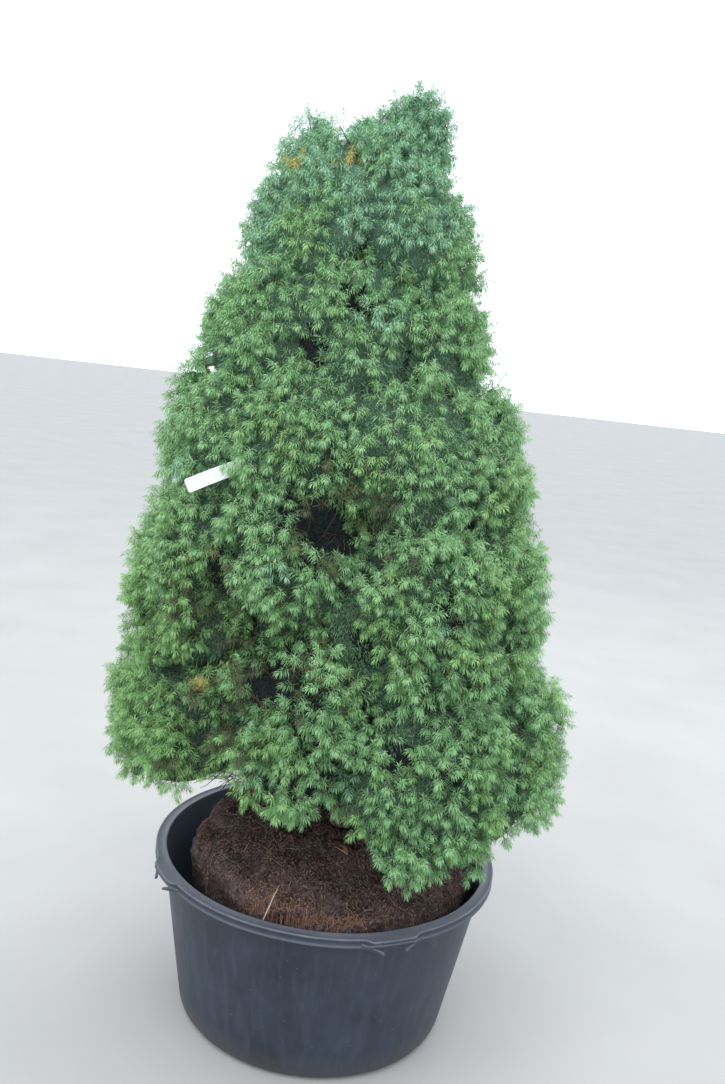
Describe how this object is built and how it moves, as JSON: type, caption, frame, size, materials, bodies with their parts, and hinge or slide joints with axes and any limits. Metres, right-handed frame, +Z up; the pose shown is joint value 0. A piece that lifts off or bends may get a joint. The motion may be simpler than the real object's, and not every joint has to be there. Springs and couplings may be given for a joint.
{
  "type": "potted dwarf spruce",
  "caption": "Dense conical dwarf spruce with soft lobed masses of needle foliage and a blank plant label, rooted in a wide low nursery pot with a flanged rim and grip recesses.",
  "frame": {"origin": "middle of the pot's flat underside, on the ground", "axes": "+Z up along the pot's axis; -Y is the side that the picture was taken from; +X is to the right in it"},
  "size_m": [0.7335, 0.7282, 1.4641],
  "materials": {
    "pot_plastic": "matt, scuffed blue-grey black",
    "soil": "rough fibrous peat",
    "bark": "rough grey-brown bark",
    "needles": "soft matt green needles",
    "label_plastic": "smooth white, blank"
  },
  "bodies": {
    "root": {"bough_foot_1": "bark", "bough_foot_2": "bark", "bough_foot_3": "bark", "bough_foot_4": "bark", "bough_foot_5": "bark", "bough_foot_6": "bark", "bough_foot_7": "bark", "bough_foot_8": "bark", "bough_low_1": "bark", "bough_low_2": "bark", "bough_low_3": "bark", "bough_low_4": "bark", "bough_low_5": "bark", "bough_low_6": "bark", "bough_low_7": "bark", "foliage_foot_1": "needles", "foliage_foot_2": "needles", "foliage_foot_3": "needles", "foliage_foot_4": "needles", "foliage_foot_5": "needles", "foliage_foot_6": "needles", "foliage_foot_7": "needles", "foliage_foot_8": "needles", "foliage_high_1": "needles", "foliage_high_2": "needles", "foliage_high_3": "needles", "foliage_high_4": "needles", "foliage_leader_left": "needles", "foliage_leader_middle": "needles", "foliage_leader_right": "needles", "foliage_low_1": "needles", "foliage_low_2": "needles", "foliage_low_3": "needles", "foliage_low_4": "needles", "foliage_low_5": "needles", "foliage_low_6": "needles", "foliage_low_7": "needles", "foliage_middle_1": "needles", "foliage_middle_2": "needles", "foliage_middle_3": "needles", "foliage_middle_4": "needles", "foliage_middle_5": "needles", "foliage_middle_6": "needles", "foliage_upper_1": "needles", "foliage_upper_2": "needles", "foliage_upper_3": "needles", "foliage_upper_4": "needles", "foliage_upper_5": "needles", "label": "label_plastic", "pot": "pot_plastic", "root_ball": "soil", "trunk": "bark"}
  },
  "joints": []
}
